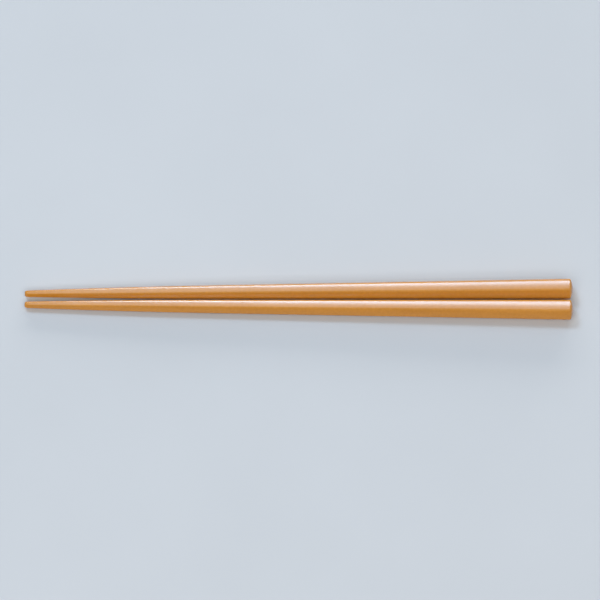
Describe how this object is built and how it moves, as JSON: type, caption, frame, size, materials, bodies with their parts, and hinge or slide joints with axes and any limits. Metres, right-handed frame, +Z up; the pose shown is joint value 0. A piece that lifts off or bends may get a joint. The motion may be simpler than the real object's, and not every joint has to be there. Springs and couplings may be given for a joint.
{
  "type": "pair of chopsticks",
  "caption": "Pair of satin amber plastic chopsticks lying side by side: hexagonal sticks with softly rolled facets that taper to slim rounded tips, for picking up food.",
  "frame": {"origin": "bottom centre of the pair's bounding box, on the table plane between the two sticks", "axes": "+X runs along the sticks from tips to butts, +Y from the front stick to the rear one, +Z up"},
  "size_m": [0.225, 0.0186, 0.0081],
  "materials": {
    "amber_plastic": "satin"
  },
  "bodies": {
    "root": {"rear_chopstick": "amber_plastic", "front_chopstick": "amber_plastic"}
  },
  "joints": []
}
